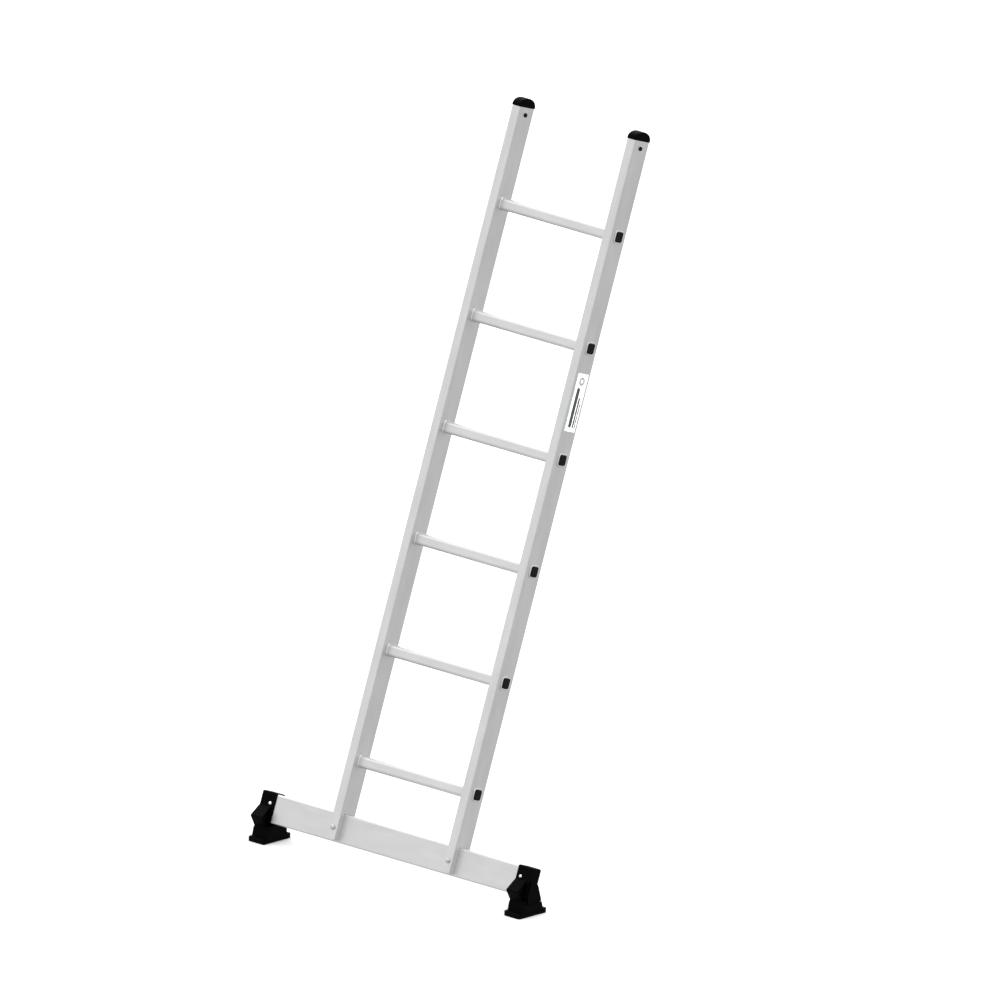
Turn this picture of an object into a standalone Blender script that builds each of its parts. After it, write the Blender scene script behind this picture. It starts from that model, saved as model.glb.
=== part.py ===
"""Leaning rung ladder with a stabiliser bar and two-way tilting shoes.

World: X runs along the rungs, the soles stand flat on Z = 0 and the ladder leans back towards +Y.
The ladder itself is drawn straight in its own frame (X along the rungs, Y from the front face of the
rails to the back, Z up the rails) and hangs from one empty that is turned by the lean.
Lengths below are in millimetres and are turned into metres when a mesh is made.
"""

import math

import bmesh
import bpy
from mathutils import Matrix, Vector

MM = 0.001

# Stance
LEAN_DEG = 18.0
GROUND_DROP = 54.8  # ladder frame origin above the ground
SHIFT_X, SHIFT_Y = -1.1, -308.4  # bring the middle of the bounding box over the world origin

# Rails
RAIL_PITCH = 375.0
RAIL_W, RAIL_D, RAIL_WALL, RAIL_R = 25.0, 58.0, 2.0, 2.6
RAIL_BOTTOM, RAIL_TOP = 6.0, 1846.0

# Rungs
RUNG_COUNT, RUNG_PITCH, RUNG_FIRST = 6, 280.0, 206.0
RUNG_HALF, RUNG_BORE, RUNG_R, RUNG_Y = 15.0, 13.3, 7.0, 31.5
GAP = 0.3

# Stabiliser bar
BAR_HALF_LEN, BAR_Y0, BAR_Y1, BAR_H, BAR_WALL, BAR_R = 436.7, 17.0, 45.0, 72.0, 2.2, 3.5
BOLT_Z, BOLT_D = 35.0, 8.0

# End caps
CAP_H, CAP_PROUD, CAP_PIN_Z, CAP_PIN_Y, CAP_PIN_D = 23.0, 0.9, 1827.5, 29.0, 8.0
CAP_HEAD_R, CAP_HEAD_H = 5.4, 4.2

# Feet: both are the same part, so x is measured to the right from the middle of the holder
FOOT_X = 417.0
HOLDER_HALF, HOLDER_Y0, HOLDER_Y1, HOLDER_TOP = 23.0, 14.3, 47.7, 75.0
RIVET_X, RIVET_Z, RIVET_D = -8.5, 47.2, 5.0
NOSE_Y, NOSE_Z, NOSE_R, NOSE_X0, NOSE_X1 = -2.4, 9.3, 4.2, -22.9, 13.3  # centre of the nose's rounded tip
PITCH_Y, PITCH_Z = 30.0, -22.5  # shoe tilting axis, ground-level axes from the ladder frame origin
PIN_D, LUG_R, CHEEK_R, NOSE_SWEEP_R = 6.0, 8.0, 8.7, 22.3
ROLL_X, ROLL_Z, ROLL_D = 1.7, -36.0, 5.0  # sideways tilting axis
SHOE_X0, SHOE_X1 = -24.2, 26.4
SOLE_Y0, SOLE_Y1, SOLE_TOP, SOLE_R = -11.4, 90.6, -47.8, 6.0
TOOTH_PITCH, TOOTH_DEPTH = 6.46, 2.8

# Label on the outside of the right rail
LABEL_Y0, LABEL_Y1, LABEL_Z0, LABEL_Z1 = 11.5, 50.5, 1118.0, 1263.0


def material(name, colour, metallic, roughness):
    mat = bpy.data.materials.new(name)
    mat.use_nodes = True
    bsdf = mat.node_tree.nodes["Principled BSDF"]
    bsdf.inputs["Base Color"].default_value = (*colour, 1.0)
    bsdf.inputs["Metallic"].default_value = metallic
    bsdf.inputs["Roughness"].default_value = roughness
    return mat


def clear():
    for obj in list(bpy.data.objects):
        bpy.data.objects.remove(obj, do_unlink=True)
    for mesh in list(bpy.data.meshes):
        bpy.data.meshes.remove(mesh)
    for mat in list(bpy.data.materials):
        bpy.data.materials.remove(mat)


def empty(name, location, rotation=(0.0, 0.0, 0.0), parent=None):
    obj = bpy.data.objects.new(name, None)
    obj.empty_display_size = 0.03
    obj.location = Vector(location) * MM
    obj.rotation_euler = rotation
    obj.parent = parent
    bpy.context.scene.collection.objects.link(obj)
    return obj


def make(name, points, faces):
    """A closed mesh from points in millimetres, with its faces turned outwards."""
    mesh = bpy.data.meshes.new(name)
    bm = bmesh.new()
    verts = [bm.verts.new(Vector(p) * MM) for p in points]
    for face in faces:
        bm.faces.new([verts[i] for i in face])
    bmesh.ops.recalc_face_normals(bm, faces=bm.faces)
    bm.to_mesh(mesh)
    bm.free()
    obj = bpy.data.objects.new(name, mesh)
    bpy.context.scene.collection.objects.link(obj)
    return obj


def rounded_rect(cx, cy, hx, hy, r, steps=3):
    points = []
    for sx, sy, start in ((1, 1, 0), (-1, 1, 90), (-1, -1, 180), (1, -1, 270)):
        for i in range(steps + 1):
            a = math.radians(start + 90 * i / steps)
            points.append((cx + sx * (hx - r) + r * math.cos(a), cy + sy * (hy - r) + r * math.sin(a)))
    return points


def circle(cx, cy, r, steps=24, start=0.0, sweep=360.0):
    count = steps if sweep == 360.0 else steps + 1
    return [
        (cx + r * math.cos(math.radians(start + sweep * i / steps)),
         cy + r * math.sin(math.radians(start + sweep * i / steps)))
        for i in range(count)
    ]


def place(axis, along, a, b):
    return {"X": (along, a, b), "Y": (a, along, b), "Z": (a, b, along)}[axis]


def prism(name, outline, axis, start, end, round_ends=0.0, round_steps=2):
    """An outline pushed along an axis; round_ends rolls the rims of both end faces."""
    n = len(outline)
    points = [place(axis, start, a, b) for a, b in outline] + [place(axis, end, a, b) for a, b in outline]
    faces = [list(range(n)), list(range(n, 2 * n))]
    faces += [[i, (i + 1) % n, n + (i + 1) % n, n + i] for i in range(n)]
    obj = make(name, points, faces)
    if round_ends:
        bm = bmesh.new()
        bm.from_mesh(obj.data)
        rims = [e for f in bm.faces if len(f.verts) == n and n != 4 or f.index < 2 for e in f.edges]
        bmesh.ops.bevel(bm, geom=list(set(rims)), offset=round_ends * MM, segments=round_steps,
                        affect="EDGES", profile=0.5, clamp_overlap=True)
        bm.to_mesh(obj.data)
        bm.free()
    return obj


def tube(name, sections, axis):
    """Sections (along, outline) in order round a closed ring, as the outside then the bore of a tube."""
    n = len(sections[0][1])
    points = [place(axis, along, a, b) for along, outline in sections for a, b in outline]
    faces = []
    for k in range(len(sections)):
        m = (k + 1) % len(sections)
        faces += [[k * n + i, k * n + (i + 1) % n, m * n + (i + 1) % n, m * n + i] for i in range(n)]
    return make(name, points, faces)


def stack(name, sections, axis):
    """Sections (along, outline) joined in order and closed at both ends."""
    n = len(sections[0][1])
    points = [place(axis, along, a, b) for along, outline in sections for a, b in outline]
    faces = [list(range(n)), list(range(n * (len(sections) - 1), n * len(sections)))]
    for k in range(len(sections) - 1):
        faces += [[k * n + i, k * n + (i + 1) % n, (k + 1) * n + (i + 1) % n, (k + 1) * n + i]
                  for i in range(n)]
    return make(name, points, faces)


def turned(name, axis, centre, profile, steps=24):
    """A solid of revolution: profile is (along, radius) from one end to the other."""
    sections = [(along, circle(centre[0], centre[1], r, steps)) for along, r in profile]
    return stack(name, sections, axis)


def combine(obj, other, operation):
    mod = obj.modifiers.new(operation, "BOOLEAN")
    mod.object, mod.operation, mod.solver = other, operation, "EXACT"
    bpy.context.view_layer.update()
    graph = bpy.context.evaluated_depsgraph_get()
    joined = bpy.data.meshes.new_from_object(obj.evaluated_get(graph))
    obj.modifiers.clear()
    old, obj.data = obj.data, joined
    joined.name = obj.name
    bpy.data.meshes.remove(old)
    helper = other.data
    bpy.data.objects.remove(other, do_unlink=True)
    bpy.data.meshes.remove(helper)
    return obj


def join(obj, *others):
    for other in others:
        combine(obj, other, "UNION")
    return obj


def cut(obj, *others):
    for other in others:
        combine(obj, other, "DIFFERENCE")
    return obj


def finish(obj, name, mat, parent, origin=(0.0, 0.0, 0.0), sharp=32.0):
    """Names the piece, hangs it from its empty with the mesh measured from that empty, and shades it."""
    obj.name = obj.data.name = name
    obj.data.transform(Matrix.Translation(-Vector(origin) * MM))
    obj.parent = parent
    obj.data.materials.clear()
    obj.data.materials.append(mat)
    for poly in obj.data.polygons:
        poly.use_smooth = True
        poly.material_index = 0
    obj.data.set_sharp_from_angle(angle=math.radians(sharp))
    return obj


def side_name(side):
    return "right" if side > 0 else "left"


def rail(side, root, mat):
    cx, cy = side * RAIL_PITCH / 2, RAIL_D / 2
    outer = rounded_rect(cx, cy, RAIL_W / 2, RAIL_D / 2, RAIL_R)
    inner = rounded_rect(cx, cy, RAIL_W / 2 - RAIL_WALL, RAIL_D / 2 - RAIL_WALL, RAIL_R - 1.6)
    obj = tube("rail", [(RAIL_BOTTOM, outer), (RAIL_TOP, outer), (RAIL_TOP, inner), (RAIL_BOTTOM, inner)], "Z")
    x0, x1 = cx - RAIL_W, cx + RAIL_W
    for k in range(RUNG_COUNT):
        hole = rounded_rect(RUNG_Y, RUNG_FIRST + k * RUNG_PITCH, RUNG_HALF + GAP, RUNG_HALF + GAP, RUNG_R + GAP)
        cut(obj, prism("hole", hole, "X", x0, x1))
    slot = [(BAR_Y0 - GAP, RAIL_BOTTOM - 5), (BAR_Y1 + GAP, RAIL_BOTTOM - 5),
            (BAR_Y1 + GAP, BAR_H + GAP), (BAR_Y0 - GAP, BAR_H + GAP)]
    cut(obj, prism("slot", slot, "X", x0, x1))
    cut(obj, prism("bolt_hole", circle(cx, BOLT_Z, BOLT_D / 2 + GAP, 16), "Y", -10, RAIL_D + 10))
    cut(obj, prism("pin_hole", circle(CAP_PIN_Y, CAP_PIN_Z, CAP_PIN_D / 2 + GAP, 16), "X", x0, x1))
    return finish(obj, f"{side_name(side)}_rail", mat, root)


def rung_outline(half, centre_z):
    return rounded_rect(RUNG_Y, centre_z, half, half, RUNG_R - (RUNG_HALF - half) * 0.8)


def rung(index, root, mat):
    z = RUNG_FIRST + index * RUNG_PITCH
    inner_face, outer_face = RAIL_PITCH / 2 - RAIL_W / 2, RAIL_PITCH / 2 + RAIL_W / 2
    # Outside of one end: body, bead against the inner wall, throat through the rail, bead on the outside.
    profile = [
        (inner_face - 3.4, RUNG_HALF), (inner_face - 1.8, RUNG_HALF + 0.5), (inner_face - 0.9, RUNG_HALF + 1.1),
        (inner_face - GAP, RUNG_HALF + 1.4), (inner_face - GAP, RUNG_HALF), (outer_face + GAP, RUNG_HALF),
        (outer_face + GAP, RUNG_HALF + 1.7), (outer_face + 1.3, RUNG_HALF + 1.7),
        (outer_face + 2.2, RUNG_HALF + 0.7), (outer_face + 2.4, RUNG_HALF - 0.7), (outer_face + 2.0, RUNG_BORE),
    ]
    rim = [(x, rung_outline(h, z)) for x, h in profile]
    mirrored = [(-x, rung_outline(h, z)) for x, h in profile]
    return finish(tube("rung", mirrored[::-1] + rim, "X"), f"rung_{index + 1}", mat, root)


def rung_plug(index, side, root, mat):
    z = RUNG_FIRST + index * RUNG_PITCH
    face = RAIL_PITCH / 2 + RAIL_W / 2 + 2.2
    half = RUNG_BORE - GAP
    profile = [(face - 22, half - 0.6), (face - 21, half), (face - 0.3, half), (face + 0.4, half - 0.5),
               (face + 0.9, half - 2.0), (face + 1.2, half - 5.5)]
    sections = [(side * x, rung_outline(h, z)) for x, h in profile]
    return finish(stack("plug", sections, "X"), f"rung_plug_{side_name(side)}_{index + 1}", mat, root)


def end_cap(side, root, mat):
    cx = side * RAIL_PITCH / 2
    y0, y1, z0 = -CAP_PROUD, RAIL_D + CAP_PROUD, RAIL_TOP + GAP
    mid, half = (y0 + y1) / 2, (y1 - y0) / 2
    dome = [(y0, z0), (y1, z0)]
    for i in range(15):
        a = math.radians(180.0 * i / 14)
        dome.append((mid + half * math.cos(a), z0 + 3.0 + (CAP_H - 3.0 - GAP) * math.sin(a) ** 0.94))
    body = prism("cap", dome, "X", cx - RAIL_W / 2 - CAP_PROUD, cx + RAIL_W / 2 + CAP_PROUD, 2.4, 3)
    spigot = prism("spigot", rounded_rect(cx, RAIL_D / 2, RAIL_W / 2 - RAIL_WALL - GAP,
                                          RAIL_D / 2 - RAIL_WALL - GAP, 1.6, 2), "Z", RAIL_TOP - 42, RAIL_TOP + 6)
    join(body, spigot)
    cut(body, prism("hole", circle(CAP_PIN_Y, CAP_PIN_Z, CAP_PIN_D / 2 + GAP, 16), "X", cx - 40, cx + 40))
    return finish(body, f"end_cap_{side_name(side)}", mat, root)


def cap_pin(side, root, mat):
    """Round-headed pin through the rail and the cap's spigot, with a domed head on both sides."""
    cx, r, face = side * RAIL_PITCH / 2, CAP_PIN_D / 2, RAIL_W / 2 + GAP
    head = [(face, r), (face, CAP_HEAD_R), (face + 0.6, CAP_HEAD_R)]
    for i in range(1, 5):
        a = math.radians(90.0 * i / 4.4)
        head.append((face + 0.6 + (CAP_HEAD_H - 0.6) * math.sin(a), CAP_HEAD_R * math.cos(a)))
    profile = [(cx - d, rad) for d, rad in reversed(head)] + [(cx + d, rad) for d, rad in head]
    return finish(turned("pin", "X", (CAP_PIN_Y, CAP_PIN_Z), profile, 20), f"cap_pin_{side_name(side)}", mat, root)


def stabiliser_bar(root, mat):
    cy, cz, hy, hz = (BAR_Y0 + BAR_Y1) / 2, BAR_H / 2, (BAR_Y1 - BAR_Y0) / 2, BAR_H / 2
    outer = rounded_rect(cy, cz, hy, hz, BAR_R)
    inner = rounded_rect(cy, cz, hy - BAR_WALL, hz - BAR_WALL, 1.6)
    obj = tube("bar", [(-BAR_HALF_LEN, outer), (BAR_HALF_LEN, outer), (BAR_HALF_LEN, inner), (-BAR_HALF_LEN, inner)],
               "X")
    for side in (-1, 1):
        cut(obj, prism("hole", circle(side * RAIL_PITCH / 2, BOLT_Z, BOLT_D / 2 + GAP, 16), "Y", -10, 80))
        rivet_x = side * (FOOT_X + RIVET_X)
        cut(obj, prism("hole", circle(rivet_x, RIVET_Z, RIVET_D / 2 + GAP, 12), "Y", BAR_Y0 - 5, BAR_Y0 + 8))
    return finish(obj, "stabiliser_bar", mat, root)


def bar_fasteners(side, root, steel):
    cx, name = side * RAIL_PITCH / 2, side_name(side)
    r = BOLT_D / 2
    bolt = turned("bolt", "Y", (cx, BOLT_Z), [
        (-5.6, 2.6), (-5.3, 4.0), (-4.3, 5.2), (-2.6, 6.0), (-GAP, 6.3), (-GAP, r), (68.0, r), (69.0, r - 0.9)], 20)
    finish(bolt, f"stabiliser_bolt_{name}", steel, root)
    washer = tube("washer", [(y, circle(cx, BOLT_Z, rad, 20)) for y, rad in (
        (RAIL_D + GAP, 9.0), (RAIL_D + GAP + 1.6, 9.0), (RAIL_D + GAP + 1.6, r + GAP), (RAIL_D + GAP, r + GAP))], "Y")
    finish(washer, f"stabiliser_washer_{name}", steel, root)
    y0 = RAIL_D + GAP + 1.9
    nut = prism("nut", circle(cx, BOLT_Z, 7.5, 6, 30), "Y", y0, y0 + 6.5)
    cut(nut, prism("bore", circle(cx, BOLT_Z, r + GAP, 16), "Y", y0 - 5, y0 + 12))
    finish(nut, f"stabiliser_nut_{name}", steel, root)


def to_ladder(y, z):
    """Ground-level offsets (back, up) from the ladder origin, in the ladder's own frame."""
    c, s = math.cos(math.radians(LEAN_DEG)), math.sin(math.radians(LEAN_DEG))
    return y * c - z * s, y * s + z * c


def outward(side, a, b):
    """An interval measured outwards from the holder's middle, as world X on that side."""
    return tuple(sorted((side * (FOOT_X + a), side * (FOOT_X + b))))


def span(side, a, b):
    """An interval measured to the right from the holder's middle, as world X on that side."""
    return side * FOOT_X + a, side * FOOT_X + b


def round_corners(obj, side, x0, x1, y0, y1, r):
    """Rounds the four upright corners of a plate that fills the given rectangle seen from above."""
    a, b = span(side, x0 - 0.02, x1 + 0.02)
    plan = rounded_rect((a + b) / 2, (y0 + y1) / 2, (b - a) / 2, (y1 - y0) / 2 + 0.02, r, 5)
    return combine(obj, prism("plan", plan, "Z", -90.0, 10.0), "INTERSECT")


def foot_holder(side, root, mat):
    cy, hy = (HOLDER_Y0 + HOLDER_Y1) / 2, (HOLDER_Y1 - HOLDER_Y0) / 2
    z0 = -2.7
    sleeve = rounded_rect(cy, (HOLDER_TOP + z0) / 2, hy, (HOLDER_TOP - z0) / 2, 4.0)
    obj = prism("holder", sleeve, "X", *span(side, -HOLDER_HALF, HOLDER_HALF), 1.2, 2)
    # Nose: runs forward and down from the sleeve to a blunt tip, then back to just outside the shoe's sweep.
    nose = [(HOLDER_Y0 + 3.0, 40.5), (HOLDER_Y0 + 0.7, 40.5)]
    nose += [to_ladder(*p) for p in circle(NOSE_Y, NOSE_Z, NOSE_R, 6, 123.0, 87.0)]
    nose += [to_ladder(7.6, -16.6)]
    nose += [to_ladder(*p) for p in circle(PITCH_Y, PITCH_Z, NOSE_SWEEP_R, 6, 164.5, -26.5)]
    nose += [(HOLDER_Y0 + 7.0, -1.2), (HOLDER_Y0 + 7.0, 36.0)]
    join(obj, prism("nose", nose, "X", *span(side, NOSE_X0, NOSE_X1), 0.6, 1))
    # Rolls the sleeve's corners as seen from the front.
    x0, x1 = span(side, -HOLDER_HALF, HOLDER_HALF)
    front = rounded_rect((x0 + x1) / 2, (HOLDER_TOP - 40.0) / 2, (x1 - x0) / 2 + 0.3, (HOLDER_TOP + 40.0) / 2, 5.0, 4)
    combine(obj, prism("front", front, "Y", -30, 90), "INTERSECT")
    py, pz = to_ladder(PITCH_Y, PITCH_Z)
    lug = circle(py, pz, LUG_R, 16, 180.0, 180.0) + [(py + LUG_R + 1.5, -1.0), (py - LUG_R - 1.5, -1.0)]
    join(obj, prism("lug", lug, "X", *span(side, -8.0, 8.0)))
    cavity = rounded_rect((BAR_Y0 + BAR_Y1) / 2, BAR_H / 2, (BAR_Y1 - BAR_Y0) / 2 + GAP, BAR_H / 2 + GAP, BAR_R)
    cut(obj, prism("cavity", cavity, "X", *outward(side, -HOLDER_HALF - 5, BAR_HALF_LEN + GAP - FOOT_X)),
        prism("bore", circle(py, pz, PIN_D / 2 + GAP, 16), "X", *span(side, -12, 12)),
        prism("rivet_hole", circle(side * (FOOT_X + RIVET_X), RIVET_Z, RIVET_D / 2 + GAP, 12), "Y",
              HOLDER_Y0 - 5, HOLDER_Y0 + 5))
    return finish(obj, f"foot_holder_{side_name(side)}", mat, root)


def holder_rivet(side, root, mat):
    r, y = RIVET_D / 2, HOLDER_Y0
    profile = [(y - 2.9, 1.6), (y - 2.5, 3.0), (y - 1.5, 4.1), (y - GAP, 4.6), (y - GAP, r),
               (BAR_Y0 + BAR_WALL + GAP, r), (BAR_Y0 + BAR_WALL + GAP, 3.6), (BAR_Y0 + BAR_WALL + 4.0, 3.2)]
    obj = turned("rivet", "Y", (side * (FOOT_X + RIVET_X), RIVET_Z), profile, 20)
    return finish(obj, f"holder_rivet_{side_name(side)}", mat, root)


def pitch_pin(side, root, mat):
    r = PIN_D / 2
    x0, x1 = span(side, -14.6, 19.6)
    profile = [(x0, r - 0.6), (x0 + 0.6, r), (x1 - 0.6, r), (x1, r - 0.6)]
    return finish(turned("pin", "X", to_ladder(PITCH_Y, PITCH_Z), profile, 20), f"pitch_pin_{side_name(side)}",
                  mat, root)


def swivel_block(side, axis, origin, mat):
    py, pz = PITCH_Y, PITCH_Z
    low = -33.5
    ear = circle(py, pz, CHEEK_R, 16, 0.0, 180.0) + [(py - CHEEK_R, low), (py + CHEEK_R, low)]
    obj = prism("block", ear, "X", *span(side, -15.0, -8.4))
    far = prism("ear", ear, "X", *span(side, 8.4, 20.0))
    # Skirts on both sides and in front close the foot above the shoe's walls.
    skirt = [(14.2, -35.0), (14.2, -12.0), (30.0, -13.3), (34.5, -14.6), (44.0, -20.1), (47.4, -22.2), (47.4, -35.0)]
    near_skirt = prism("skirt", skirt, "X", *span(side, -17.6, -14.4))
    far_skirt = prism("skirt", skirt, "X", *span(side, 18.2, 21.0))
    front_skirt = prism("skirt", [(14.1, -34.8), (14.1, -12.6), (17.2, -12.9), (17.2, -34.8)], "X",
                        *span(side, -17.2, 20.6))
    # Lower body: carries the sideways axis, narrow at the bottom so that it can rock in the shoe.
    a, b = side * FOOT_X + ROLL_X, ROLL_Z
    keel = [(a - 16.4, -33.0), (a - 16.4, -31.0), (a + 16.4, -31.0), (a + 16.4, -33.0)]
    keel += circle(a, b, 5.0, 8, -20.0, -140.0)
    body = prism("keel", keel, "Y", 15.0, 45.0)
    join(obj, body, far, front_skirt, near_skirt, far_skirt)
    if side > 0:
        # Cheek: stands beside the closed end of the holder and tilts with the shoe.
        neck = prism("neck", [(py - 7.6, -21.85), (py + 7.6, -21.85), (py + 5.0, -15.6), (py - 5.0, -15.6)], "X",
                     *span(side, 17.4, 25.5))
        cheek = [(18.2, -21.8), (19.6, -2.0), (27.4, 24.0), (30.6, 32.8), (34.0, 32.4), (53.0, 23.2), (56.4, 17.8)]
        cheek += [(63.2, -1.6), (69.8, -21.8)]
        join(obj, neck, prism("cheek", cheek, "X", *span(side, HOLDER_HALF + 0.4, SHOE_X1), 0.9, 2))
    cut(obj, prism("bore", circle(py, pz, PIN_D / 2 + GAP, 16), "X", *span(side, -20, 20.0 + GAP)),
        prism("bore", circle(a, b, ROLL_D / 2 + GAP, 16), "Y", 5, 55))
    return finish(obj, f"swivel_block_{side_name(side)}", mat, axis, origin)


def shoe(side, axis, origin, mat):
    x0, x1 = SHOE_X0, SHOE_X1
    base_top, base_low = -42.3, SOLE_TOP + GAP
    plate = rounded_rect((SOLE_Y0 + SOLE_Y1) / 2, (base_top + base_low) / 2, (SOLE_Y1 - SOLE_Y0) / 2 - 3.6,
                         (base_top - base_low) / 2, 2.0, 3)
    obj = prism("shoe", plate, "X", *span(side, x0, x1), 0.8, 2)
    low = base_top - 1.5
    front = prism("front", [(1.6, low), (3.2, -40.0), (6.9, -21.4), (8.3, -20.9), (9.4, -18.0), (10.4, -14.2),
                            (13.2, -14.2), (13.2, low)], "X", *span(side, x0 + 0.6, x1 - 0.6))
    near = prism("near", [(5.0, low), (9.8, -22.2), (46.0, -22.2), (48.8, -20.0), (50.2, -17.2), (52.6, -17.4),
                          (71.4, -25.6), (73.2, -27.6), (77.0, low)], "X", *span(side, x0 + 0.25, x0 + 4.2))
    far = prism("far", [(5.0, low), (9.8, -23.6), (70.4, -23.6), (71.4, -26.4), (76.8, low)], "X",
                *span(side, x1 - 4.2, x1 - 0.25))
    deck = prism("deck", [(48.4, low), (48.4, -20.0), (50.4, -18.2), (52.8, -18.4), (66.6, -21.4), (70.8, -25.8),
                          (72.2, -28.6), (75.6, low)], "X", *span(side, x0 + 1.5, x1 - 4.5))
    join(obj, front, deck, near, far)
    if side < 0:
        # Upstand outside the open end of the holder, below the bar.
        upstand = [(10.6, -30.0), (10.6, -15.4), (14.0, -13.4), (30.0, -12.8), (35.0, -14.1), (44.0, -18.8),
                   (47.2, -18.8), (50.4, -16.8), (52.6, -17.2), (71.0, -25.4), (72.8, -27.4), (75.0, -32.0)]
        join(obj, prism("upstand", upstand, "X", *span(side, HOLDER_HALF + 1.6, x1 + 0.5)))
    cut(obj, prism("bore", circle(side * FOOT_X + ROLL_X, ROLL_Z, ROLL_D / 2 + GAP, 16), "Y", 6.9, 85))
    round_corners(obj, side, x0, x1, SOLE_Y0 + 3.6, SOLE_Y1 - 3.6, SOLE_R - 1.0)
    return finish(obj, f"shoe_{side_name(side)}", mat, axis, origin)


def roll_pin(side, axis, origin, mat):
    r = ROLL_D / 2
    profile = [(7.2, r - 0.5), (7.7, r), (52.8, r), (53.3, r - 0.5)]
    obj = turned("pin", "Y", (side * FOOT_X + ROLL_X, ROLL_Z), profile, 16)
    return finish(obj, f"roll_pin_{side_name(side)}", mat, axis, origin)


def sole_pad(side, axis, origin, mat):
    bottom = -GROUND_DROP
    lip = [(3.2, SOLE_TOP), (3.2, -43.2), (2.4, -42.2), (1.2, -42.6), (0.3, -44.0), (0.0, -46.0)]
    outline = [(SOLE_Y1 - d, z) for d, z in lip[:1]] + [(SOLE_Y0 + d, z) for d, z in lip]
    outline.append((SOLE_Y0 + 0.6, bottom + 1.6))
    y = SOLE_Y0 + 2.2
    while y + TOOTH_PITCH < SOLE_Y1:
        outline += [(y, bottom), (y + TOOTH_PITCH * 0.5, bottom), (y + TOOTH_PITCH * 0.66, bottom + TOOTH_DEPTH),
                    (y + TOOTH_PITCH * 0.84, bottom + TOOTH_DEPTH)]
        y += TOOTH_PITCH
    outline = outline[:-2] + [(SOLE_Y1 - 0.6, bottom + 1.6)] + [(SOLE_Y1 - d, z) for d, z in lip[:0:-1]]
    obj = prism("sole", outline, "X", *span(side, SHOE_X0 - 0.5, SHOE_X1 + 0.5))
    round_corners(obj, side, SHOE_X0 - 0.5, SHOE_X1 + 0.5, SOLE_Y0, SOLE_Y1, SOLE_R)
    return finish(obj, f"sole_pad_{side_name(side)}", mat, axis, origin, 25.0)


def label(root, mat):
    x = RAIL_PITCH / 2 + RAIL_W / 2
    outline = rounded_rect((LABEL_Y0 + LABEL_Y1) / 2, (LABEL_Z0 + LABEL_Z1) / 2, (LABEL_Y1 - LABEL_Y0) / 2,
                           (LABEL_Z1 - LABEL_Z0) / 2, 2.0)
    return finish(prism("label", outline, "X", x + 0.06, x + 0.46), "info_label", mat, root)


def build():
    clear()
    scene = bpy.context.scene
    scene.unit_settings.system = "METRIC"
    scene.unit_settings.scale_length = 1.0
    rail_metal = material("Extruded aluminium", (0.66, 0.67, 0.68), 1.0, 0.38)
    rung_metal = material("Rung aluminium", (0.68, 0.69, 0.70), 1.0, 0.34)
    bar_metal = material("Stabiliser aluminium", (0.64, 0.65, 0.66), 1.0, 0.40)
    steel = material("Zinc plated steel", (0.60, 0.60, 0.58), 1.0, 0.30)
    rivet_metal = material("Rivet aluminium", (0.86, 0.86, 0.86), 1.0, 0.22)
    black = material("Black moulded plastic", (0.012, 0.012, 0.013), 0.0, 0.45)
    plug_black = material("Plug plastic", (0.018, 0.018, 0.018), 0.0, 0.55)
    rubber = material("Sole rubber", (0.010, 0.010, 0.010), 0.0, 0.75)
    paper = material("Label film", (0.85, 0.86, 0.87), 0.0, 0.40)

    start = (SHIFT_X, SHIFT_Y, GROUND_DROP)
    root = empty("ladder_frame", start, (math.radians(-LEAN_DEG), 0.0, 0.0))
    for side in (-1, 1):
        rail(side, root, rail_metal)
        end_cap(side, root, black)
        cap_pin(side, root, plug_black)
        bar_fasteners(side, root, steel)
        foot_holder(side, root, black)
        holder_rivet(side, root, rivet_metal)
        pitch_pin(side, root, steel)
        for index in range(RUNG_COUNT):
            rung_plug(index, side, root, plug_black)
        name, x = side_name(side), side * FOOT_X
        pitch_at = (x, PITCH_Y, PITCH_Z)
        roll_at = (x + ROLL_X, PITCH_Y, ROLL_Z)
        pitch_axis = empty(f"pitch_axis_{name}", Vector(start) + Vector(pitch_at))
        roll_axis = empty(f"roll_axis_{name}", Vector(roll_at) - Vector(pitch_at), parent=pitch_axis)
        swivel_block(side, pitch_axis, pitch_at, black)
        roll_pin(side, roll_axis, roll_at, steel)
        shoe(side, roll_axis, roll_at, black)
        sole_pad(side, roll_axis, roll_at, rubber)
    for index in range(RUNG_COUNT):
        rung(index, root, rung_metal)
    stabiliser_bar(root, bar_metal)
    label(root, paper)
    bpy.context.view_layer.update()


build()
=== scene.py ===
"""Leaning rung ladder: looks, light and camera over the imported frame. Lengths in metres."""

import math

import bmesh
import bpy
from mathutils import Matrix, Vector

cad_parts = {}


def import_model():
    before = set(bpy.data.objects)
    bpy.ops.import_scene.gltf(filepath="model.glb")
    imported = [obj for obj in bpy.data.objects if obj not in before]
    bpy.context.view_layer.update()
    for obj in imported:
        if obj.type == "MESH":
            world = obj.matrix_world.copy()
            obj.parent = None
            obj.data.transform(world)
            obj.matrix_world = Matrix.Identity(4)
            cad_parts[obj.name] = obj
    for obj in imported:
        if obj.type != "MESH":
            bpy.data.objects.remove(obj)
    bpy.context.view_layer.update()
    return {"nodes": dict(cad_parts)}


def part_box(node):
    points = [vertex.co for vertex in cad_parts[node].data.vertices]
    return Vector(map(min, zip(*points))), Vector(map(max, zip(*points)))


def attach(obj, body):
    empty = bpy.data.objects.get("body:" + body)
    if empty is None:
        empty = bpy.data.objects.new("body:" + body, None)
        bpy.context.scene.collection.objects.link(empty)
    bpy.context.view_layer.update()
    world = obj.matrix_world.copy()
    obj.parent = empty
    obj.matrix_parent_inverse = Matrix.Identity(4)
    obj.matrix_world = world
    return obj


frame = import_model()

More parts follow.
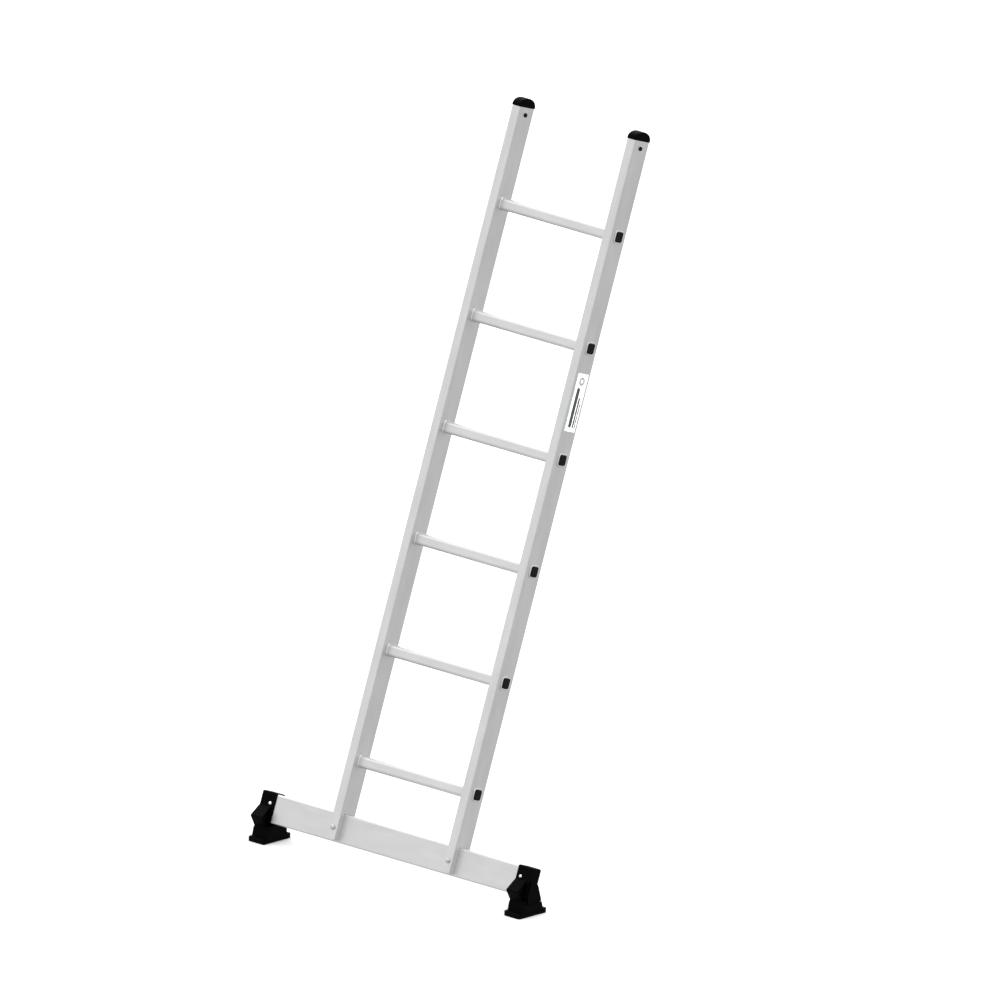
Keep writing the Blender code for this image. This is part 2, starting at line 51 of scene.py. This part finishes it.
MM = 0.001
LEAN = math.radians(18.0)
ORIGIN = Vector((-0.0011, -0.3084, 0.0548))  # ladder frame origin: front lower edge of the bar, in the middle
scene = bpy.context.scene


# ---------------------------------------------------------------- materials

# Noise scales, in waves per metre
DIE_LINES_ACROSS, DIE_LINES_ALONG = 900.0, 6.0
CLOUDS_ACROSS, CLOUDS_ALONG = 38.0, 9.0
SCUFFS = 160.0
DUST = 60.0
INK_PATCHES, INK_GRAIN = 700.0, 5000.0

# Bump heights
DIE_LINE_DEPTH, SCUFF_DEPTH, INK_DEPTH = 0.00006, 0.00008, 0.00001

# Patches as multiples of a material's own tone
CLOUD_DARK, CLOUD_LIGHT, SCUFF_TONE = 0.93, 1.03, 0.8
# The dust tone lifts the light label film past full white, so there it is a painted glow as well as dust
DUST_AND_GLOW_TONE, THIN_INK_TONE = 1.8, 1.35


class Graph:
    """A small helper for wiring shader nodes."""

    def __init__(self, name):
        self.mat = bpy.data.materials.new(name)
        self.mat.use_nodes = True
        self.tree = self.mat.node_tree
        self.tree.nodes.clear()
        self.bsdf = self.node("ShaderNodeBsdfPrincipled")
        self.link(self.bsdf, "BSDF", self.node("ShaderNodeOutputMaterial"), "Surface")

    def node(self, kind, **settings):
        n = self.tree.nodes.new(kind)
        for key, value in settings.items():
            setattr(n, key, value)
        return n

    def link(self, a, out, b, into):
        self.tree.links.new(a.outputs[out], b.inputs[into])

    def coords(self, lean=0.0, scale=(1.0, 1.0, 1.0)):
        """Object coordinates, turned by the lean where Z has to run along the rails."""
        turn = self.node("ShaderNodeMapping", vector_type="POINT")
        turn.inputs["Rotation"].default_value = (lean, 0.0, 0.0)
        size = self.node("ShaderNodeMapping", vector_type="POINT")
        size.inputs["Scale"].default_value = scale
        self.link(self.node("ShaderNodeTexCoord"), "Object", turn, "Vector")
        self.link(turn, "Vector", size, "Vector")
        return size

    def noise(self, at, scale, detail, roughness=0.55):
        n = self.node("ShaderNodeTexNoise")
        n.inputs["Scale"].default_value = scale
        n.inputs["Detail"].default_value = detail
        n.inputs["Roughness"].default_value = roughness
        self.link(at, "Vector", n, "Vector")
        return n

    def range(self, noise, lo, hi, to_lo, to_hi):
        """The noise from lo to hi stretched over to_lo to to_hi."""
        n = self.node("ShaderNodeMapRange")
        for key, value in (("From Min", lo), ("From Max", hi), ("To Min", to_lo), ("To Max", to_hi)):
            n.inputs[key].default_value = value
        self.link(noise, "Fac", n, "Value")
        return n.outputs["Result"]

    def mix(self, factor, a, b):
        """Colour mix; each of a and b is a node output or a colour."""
        n = self.node("ShaderNodeMix", data_type="RGBA")
        for value, socket in ((factor, 0), (a, 6), (b, 7)):
            if isinstance(value, tuple):
                n.inputs[socket].default_value = (*value, 1.0)
            else:
                self.tree.links.new(value, n.inputs[socket])
        return n.outputs[2]

    def bump(self, noise, distance, strength, previous=None):
        n = self.node("ShaderNodeBump")
        n.inputs["Distance"].default_value = distance
        n.inputs["Strength"].default_value = strength
        self.link(noise, "Fac", n, "Height")
        if previous:
            self.link(previous, "Normal", n, "Normal")
        self.link(n, "Normal", self.bsdf, "Normal")
        return n

    def set(self, socket, value):
        """A constant or a node output into one socket of the shader."""
        if isinstance(value, bpy.types.NodeSocket):
            self.tree.links.new(value, self.bsdf.inputs[socket])
        else:
            self.bsdf.inputs[socket].default_value = value


def shade(tone, factor):
    return tuple(c * factor for c in tone)


def drawn_out(along, across, lengthwise):
    """Noise scales of a pattern that is drawn out along one axis."""
    return {"Z": (across, across, lengthwise), "X": (lengthwise, across, across)}[along]


def aluminium(name, tone, along, rough=0.34, lines=1.0):
    """Extruded aluminium: fine die lines along one axis, soft cloudy patches and small scuffs."""
    g = Graph(name)
    g.set("Metallic", 1.0)
    streak = g.noise(g.coords(LEAN, drawn_out(along, DIE_LINES_ACROSS, DIE_LINES_ALONG)), 1.0, 2.0)
    cloud = g.noise(g.coords(LEAN, drawn_out(along, CLOUDS_ACROSS, CLOUDS_ALONG)), 1.0, 4.0, 0.6)
    scuff = g.noise(g.coords(LEAN, (SCUFFS, SCUFFS, SCUFFS)), 1.0, 6.0, 0.7)
    base = g.mix(g.range(cloud, 0.3, 0.7, 0.0, 1.0), shade(tone, CLOUD_DARK), shade(tone, CLOUD_LIGHT))
    base = g.mix(g.range(scuff, 0.62, 0.8, 0.0, 0.25), base, shade(tone, SCUFF_TONE))
    g.set("Base Color", base)
    blend = g.node("ShaderNodeMath", operation="MULTIPLY_ADD")
    g.link(streak, "Fac", blend, 0)
    blend.inputs[1].default_value = 0.12 * lines
    g.tree.links.new(g.range(cloud, 0.3, 0.7, rough - 0.05, rough + 0.07), blend.inputs[2])
    g.set("Roughness", blend.outputs[0])
    die_lines = g.bump(streak, DIE_LINE_DEPTH, 0.35 * lines)
    g.bump(scuff, SCUFF_DEPTH, 0.18, die_lines)
    return g.mat


def plastic(name, tone, rough=0.5, grain=1800.0, specular=0.12, depth=0.00012):
    """Moulded plastic or rubber with an eroded grain and lighter dust patches; on a light tone, such as the
    label film, the patches go past full white and are a painted glow.
    """
    g = Graph(name)
    g.set("Specular IOR Level", specular)
    at = g.coords()
    patch = g.noise(at, DUST, 4.0, 0.6)
    # Lighter dust patches; on a light tone they go past full white and paint a glow
    g.set("Base Color", g.mix(g.range(patch, 0.35, 0.75, 0.0, 1.0), tone, shade(tone, DUST_AND_GLOW_TONE)))
    g.set("Roughness", g.range(patch, 0.3, 0.7, rough - 0.06, rough + 0.1))
    g.bump(g.noise(at, grain, 2.0), depth, 0.5)
    return g.mat


def ink(name, tone):
    """Screen-printed ink: slightly uneven cover over the film, with a fine grain."""
    g = Graph(name)
    at = g.coords()
    patch = g.noise(at, INK_PATCHES, 3.0, 0.6)
    g.set("Base Color", g.mix(g.range(patch, 0.35, 0.7, 0.0, 1.0), tone, shade(tone, THIN_INK_TONE)))
    g.set("Roughness", g.range(patch, 0.3, 0.7, 0.38, 0.5))
    g.bump(g.noise(at, INK_GRAIN, 2.0), INK_DEPTH, 0.3)
    return g.mat


def paint(name, tone):
    """Flat matt paint for the floor."""
    g = Graph(name)
    g.set("Base Color", (tone, tone, tone, 1.0))
    g.set("Roughness", 0.9)
    g.set("Specular IOR Level", 0.0)
    return g.mat


RAIL = aluminium("rail_aluminium", (0.660, 0.667, 0.662), "Z")
RUNG = aluminium("rung_aluminium", (0.670, 0.677, 0.672), "X", rough=0.32)
BAR = aluminium("bar_aluminium", (0.655, 0.662, 0.657), "X", rough=0.36)
STEEL = aluminium("zinc_plated", (0.55, 0.55, 0.54), "X", rough=0.3, lines=0.2)
BRIGHT = aluminium("rivet_bright", (0.92, 0.92, 0.92), "X", rough=0.2, lines=0.1)
BLACK = plastic("black_moulding", (0.0005, 0.0005, 0.0006), specular=0.026)
PLUG = plastic("plug_moulding", (0.0030, 0.0030, 0.0030), rough=0.55, specular=0.1)
RUBBER = plastic("sole_rubber", (0.0010, 0.0010, 0.0010), rough=0.7, grain=1200.0, specular=0.04)
# Its dust patches reach about 1.45 times full white: a painted glow that keeps the label bright
FILM = plastic("label_film", (0.80, 0.81, 0.82), rough=0.35, grain=900.0, specular=0.4, depth=0.00003)
SLATE = ink("slate_ink", (0.035, 0.040, 0.048))
GREY = ink("grey_ink", (0.28, 0.30, 0.32))

# The first row with a fitting start of the node's name counts
MATERIALS = (
    (("left_rail", "right_rail"), RAIL),
    (("rung_plug", "cap_pin"), PLUG),
    (("rung",), RUNG),
    (("stabiliser_bar",), BAR),
    (("stabiliser", "pitch_pin", "roll_pin"), STEEL),
    (("holder_rivet",), BRIGHT),
    (("sole_pad",), RUBBER),
    (("end_cap", "foot_holder", "swivel_block", "shoe"), BLACK),
    (("info_label",), FILM),
)

for name, node in frame["nodes"].items():
    for slot in node.material_slots:
        slot.material = next(mat for starts, mat in MATERIALS if name.startswith(starts))


# ---------------------------------------------------------------- label print

# Millimetres, along the rail and across it from the label's middle
INK_PROUD = 0.10  # how far the print stands off the film
INK_SINK = 0.04
BARS = ((-13.0, -5.0, 50.0, 5.6), (-25.0, 6.6, 38.0, 2.6), (-33.0, 13.6, 30.0, 1.5))  # middle, half sizes
RING_ALONG, RING_OUTER, RING_INNER = 53.0, 10.5, 5.0
BAR_STEPS, RING_STEPS = 10, 16  # facets of each half circle


def stadium(u, v, half_u, half_v, steps=BAR_STEPS):
    """A bar with round ends, lengthwise along u."""
    points = []
    for sign, start in ((1.0, -90.0), (-1.0, 90.0)):
        for i in range(steps + 1):
            a = math.radians(start + 180.0 * i / steps)
            points.append((u + sign * (half_u - half_v) + half_v * math.cos(a), v + half_v * math.sin(a)))
    return points


def circle(u, v, r):
    return stadium(u, v, r, r, RING_STEPS)


def print_shape(bm, outline, hole=None):
    """A thin plate standing on the label."""
    low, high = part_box("info_label")
    middle = (Vector(low) + Vector(high)) / 2
    along = Vector((0.0, math.sin(LEAN), math.cos(LEAN)))
    across = Vector((0.0, math.cos(LEAN), -math.sin(LEAN)))
    face = Vector((high[0] - middle.x, 0.0, 0.0))
    out = Vector((MM, 0.0, 0.0))

    def ring(points, height):
        return [bm.verts.new(middle + face + out * height + (along * u + across * v) * MM) for u, v in points]

    top, base = ring(outline, INK_PROUD), ring(outline, -INK_SINK)
    n = len(outline)
    for i in range(n):
        j = (i + 1) % n
        bm.faces.new((base[i], base[j], top[j], top[i]))
    if hole is None:
        bm.faces.new(top)
        bm.faces.new(base[::-1])
        return
    top_in, base_in = ring(hole, INK_PROUD), ring(hole, -INK_SINK)
    for i in range(n):
        j = (i + 1) % n
        bm.faces.new((top[i], top[j], top_in[j], top_in[i]))
        bm.faces.new((base[j], base[i], base_in[i], base_in[j]))
        bm.faces.new((base_in[j], base_in[i], top_in[i], top_in[j]))


def label_piece(name, mat, shapes):
    bm = bmesh.new()
    for shape in shapes:
        print_shape(bm, *shape)
    bmesh.ops.remove_doubles(bm, verts=bm.verts, dist=1e-7)
    bmesh.ops.recalc_face_normals(bm, faces=bm.faces)
    mesh = bpy.data.meshes.new(name)
    bm.to_mesh(mesh)
    bm.free()
    mesh.materials.append(mat)
    obj = bpy.data.objects.new(name, mesh)
    scene.collection.objects.link(obj)
    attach(obj, "ladder")


label_piece("label_bars", SLATE, [(stadium(*bar),) for bar in BARS])
label_piece("label_ring", GREY, [(circle(RING_ALONG, 0.0, RING_OUTER), circle(RING_ALONG, 0.0, RING_INNER))])


# ---------------------------------------------------------------- stage, light and camera

FLOOR_HALF, FLOOR_DROP, FLOOR_TONE = 30.0, 0.0004, 0.93

AMBIENT = 0.765
LOBES = (  # direction, sharpness, strength; a negative one takes light away
    ((0.0, 0.0, 1.0), 1.0, 1.0),
    ((-0.63, 0.75, -0.1), 5.0, 1.1),
    ((0.63, -0.72, 0.28), 3.0, 0.2),
    ((-0.63, -0.75, 0.2), 2.0, 0.135),
    ((0.0, -0.84, 0.54), 6.0, -0.4),
    ((-0.63, 0.2, 0.75), 5.0, 0.9),
    ((0.0, 0.0, -1.0), 1.0, -0.15),
)

VIEW_RIGHT = Vector((0.74497, 0.66579, 0.04188))
VIEW_UP = Vector((-0.21738, 0.18294, 0.95878))
VIEW_WIDTH = 2.4305
VIEW_MIDDLE_RIGHT, VIEW_MIDDLE_UP = 0.27469, 0.86934  # middle of the view from the ladder frame origin
VIEW_DISTANCE = 6.0


def stage():
    bm = bmesh.new()
    bmesh.ops.create_grid(bm, x_segments=1, y_segments=1, size=FLOOR_HALF)
    mesh = bpy.data.meshes.new("floor")
    bm.to_mesh(mesh)
    bm.free()
    mesh.materials.append(paint("floor_paint", FLOOR_TONE))
    floor = bpy.data.objects.new("floor", mesh)
    floor.location.z = -FLOOR_DROP
    floor.visible_glossy = False
    scene.collection.objects.link(floor)


def world():
    """A studio of soft lobes of light; the camera itself sees plain white behind the ladder."""
    studio = bpy.data.worlds.new("studio")
    scene.world = studio
    studio.use_nodes = True
    tree = studio.node_tree
    tree.nodes.clear()
    direction = tree.nodes.new("ShaderNodeTexCoord").outputs["Generated"]

    def combine(operation, first, second):
        n = tree.nodes.new("ShaderNodeMath")
        n.operation = operation
        tree.links.new(first, n.inputs[0])
        if isinstance(second, float):
            n.inputs[1].default_value = second
        else:
            tree.links.new(second, n.inputs[1])
        return n.outputs[0]

    def lobe(towards, sharpness, strength):
        dot = tree.nodes.new("ShaderNodeVectorMath")
        dot.operation = "DOT_PRODUCT"
        dot.inputs[1].default_value = Vector(towards).normalized()
        tree.links.new(direction, dot.inputs[0])
        facing = combine("MAXIMUM", dot.outputs["Value"], 0.0)
        return combine("MULTIPLY", combine("POWER", facing, sharpness), strength)

    total = lobe(*LOBES[0])
    for values in LOBES[1:]:
        total = combine("ADD", total, lobe(*values))
    total = combine("ADD", total, AMBIENT)
    light = tree.nodes.new("ShaderNodeBackground")
    tree.links.new(total, light.inputs["Color"])
    seen = tree.nodes.new("ShaderNodeBackground")
    seen.inputs["Color"].default_value = (1.0, 1.0, 1.0, 1.0)
    path = tree.nodes.new("ShaderNodeLightPath")
    mix = tree.nodes.new("ShaderNodeMixShader")
    tree.links.new(path.outputs["Is Camera Ray"], mix.inputs["Fac"])
    tree.links.new(light.outputs[0], mix.inputs[1])
    tree.links.new(seen.outputs[0], mix.inputs[2])
    tree.links.new(mix.outputs[0], tree.nodes.new("ShaderNodeOutputWorld").inputs["Surface"])


def camera():
    right = VIEW_RIGHT.normalized()
    up = (VIEW_UP - right * VIEW_UP.dot(right)).normalized()
    back = right.cross(up)
    cam = bpy.data.cameras.new("photo_camera")
    cam.type = "ORTHO"
    cam.ortho_scale = VIEW_WIDTH
    obj = bpy.data.objects.new("photo_camera", cam)
    turn = Matrix((right, up, back)).transposed().to_4x4()
    middle = ORIGIN + right * VIEW_MIDDLE_RIGHT + up * VIEW_MIDDLE_UP
    obj.matrix_world = Matrix.Translation(middle + back * VIEW_DISTANCE) @ turn
    scene.collection.objects.link(obj)
    scene.camera = obj


stage()
world()
camera()
scene.view_settings.view_transform = "Standard"
scene.view_settings.look = "None"
